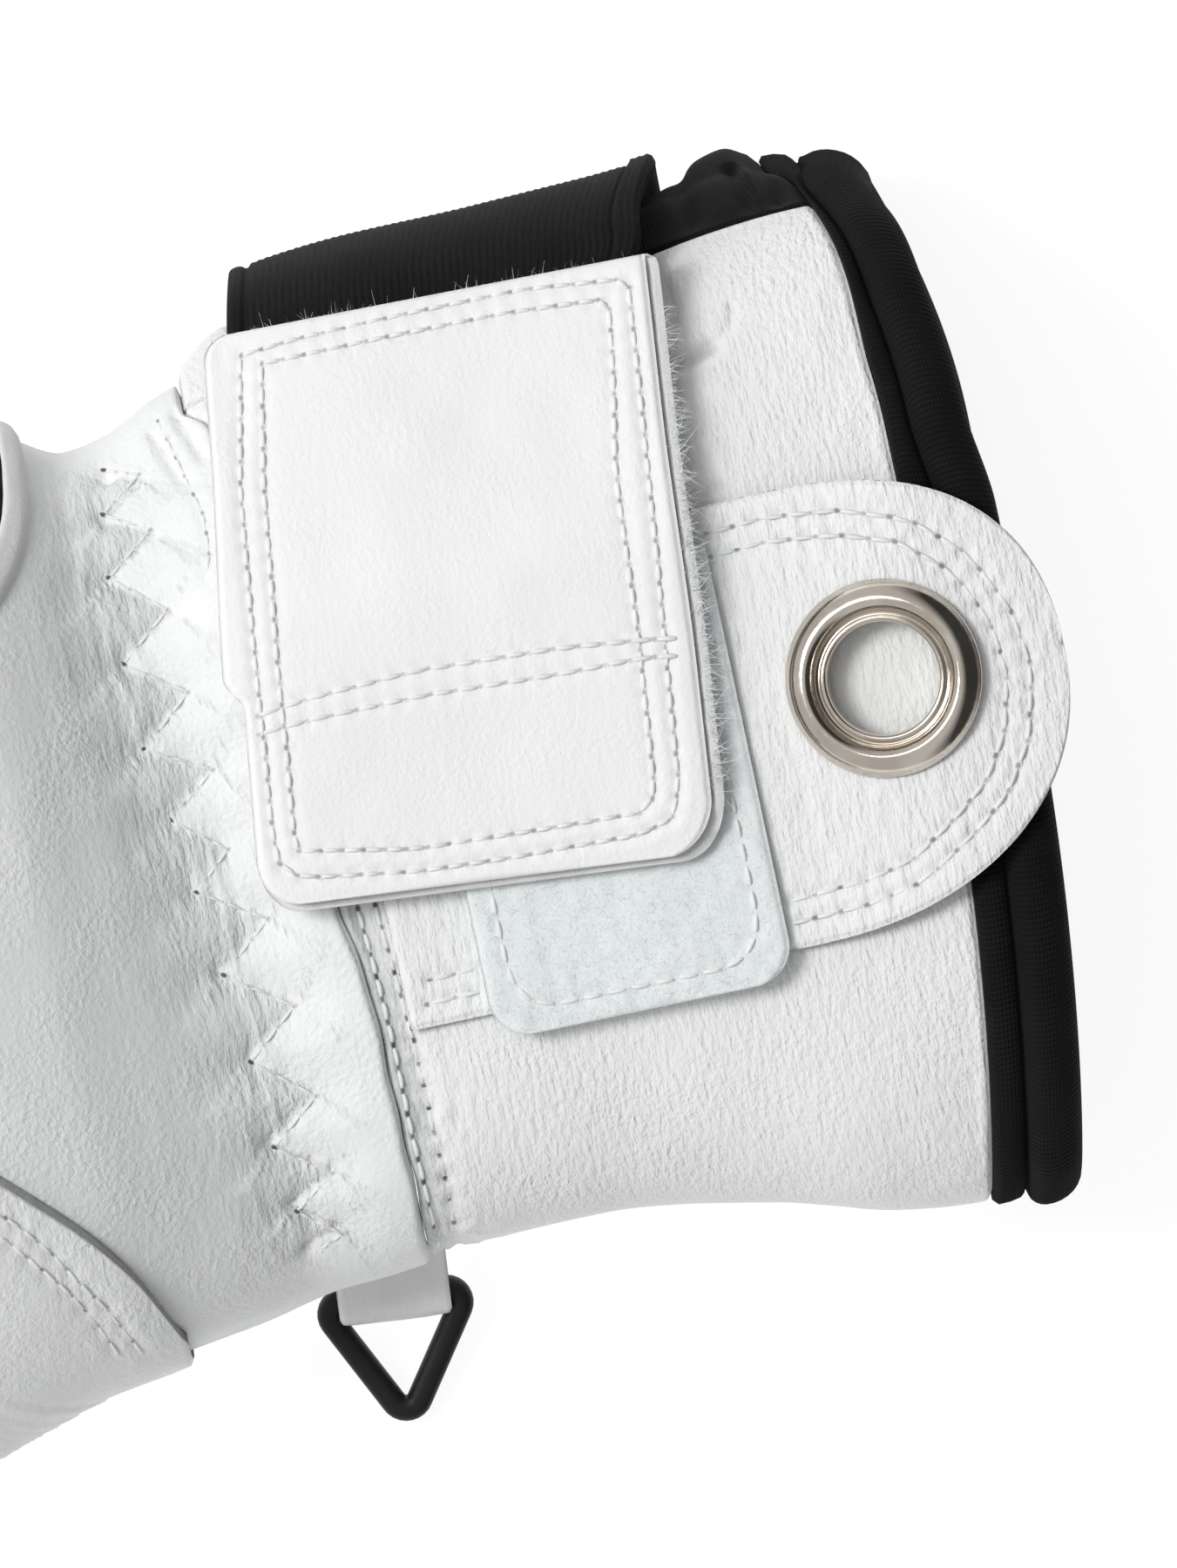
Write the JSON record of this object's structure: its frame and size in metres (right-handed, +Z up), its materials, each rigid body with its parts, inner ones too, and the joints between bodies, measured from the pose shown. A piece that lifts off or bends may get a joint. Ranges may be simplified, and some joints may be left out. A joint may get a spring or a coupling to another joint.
{
  "type": "leather ski mitten",
  "caption": "White leather mitten for the left hand with a black bound cuff, an elastic side strap and flap, an eyelet tab and a ring in a leather loop at the wrist.",
  "frame": {"origin": "on the flat underside, under the middle of the wrist", "axes": "+X from the fingertips to the mouth of the cuff, +Y to the little finger's side, +Z up out of the palm side"},
  "size_m": [0.2954, 0.178, 0.0632],
  "materials": {
    "white_leather": "soft grained white leather",
    "suede": "napped pale suede",
    "black_fabric": "black ribbed elastic and woven fabric",
    "loop_fabric": "napped pale fastening loop",
    "nickel": "polished warm nickel",
    "black_plastic": "satin black"
  },
  "bodies": {
    "mitten": {"hand_palm": "white_leather", "hand_back": "white_leather", "thumb": "white_leather", "inset_rim": "suede", "inset_fabric": "black_fabric", "cuff_front": "white_leather", "cuff_gusset": "black_fabric", "cuff_back": "white_leather", "cuff_binding": "black_fabric", "closure_strap": "black_fabric", "closure_flap": "white_leather", "flap_backing": "suede", "loop_patch": "loop_fabric", "eyelet_tab": "white_leather", "eyelet": "nickel", "ring_loop": "white_leather"},
    "ring": {"triangle_ring": "black_plastic"}
  },
  "joints": [
    {"name": "ring_swing", "type": "hinge", "parent": "mitten", "child": "ring", "pos_m": [0.0021, -0.0559, 0.005], "axis": [-0.9962, 0.0872, 0], "range_deg": [0, 95]}
  ]
}
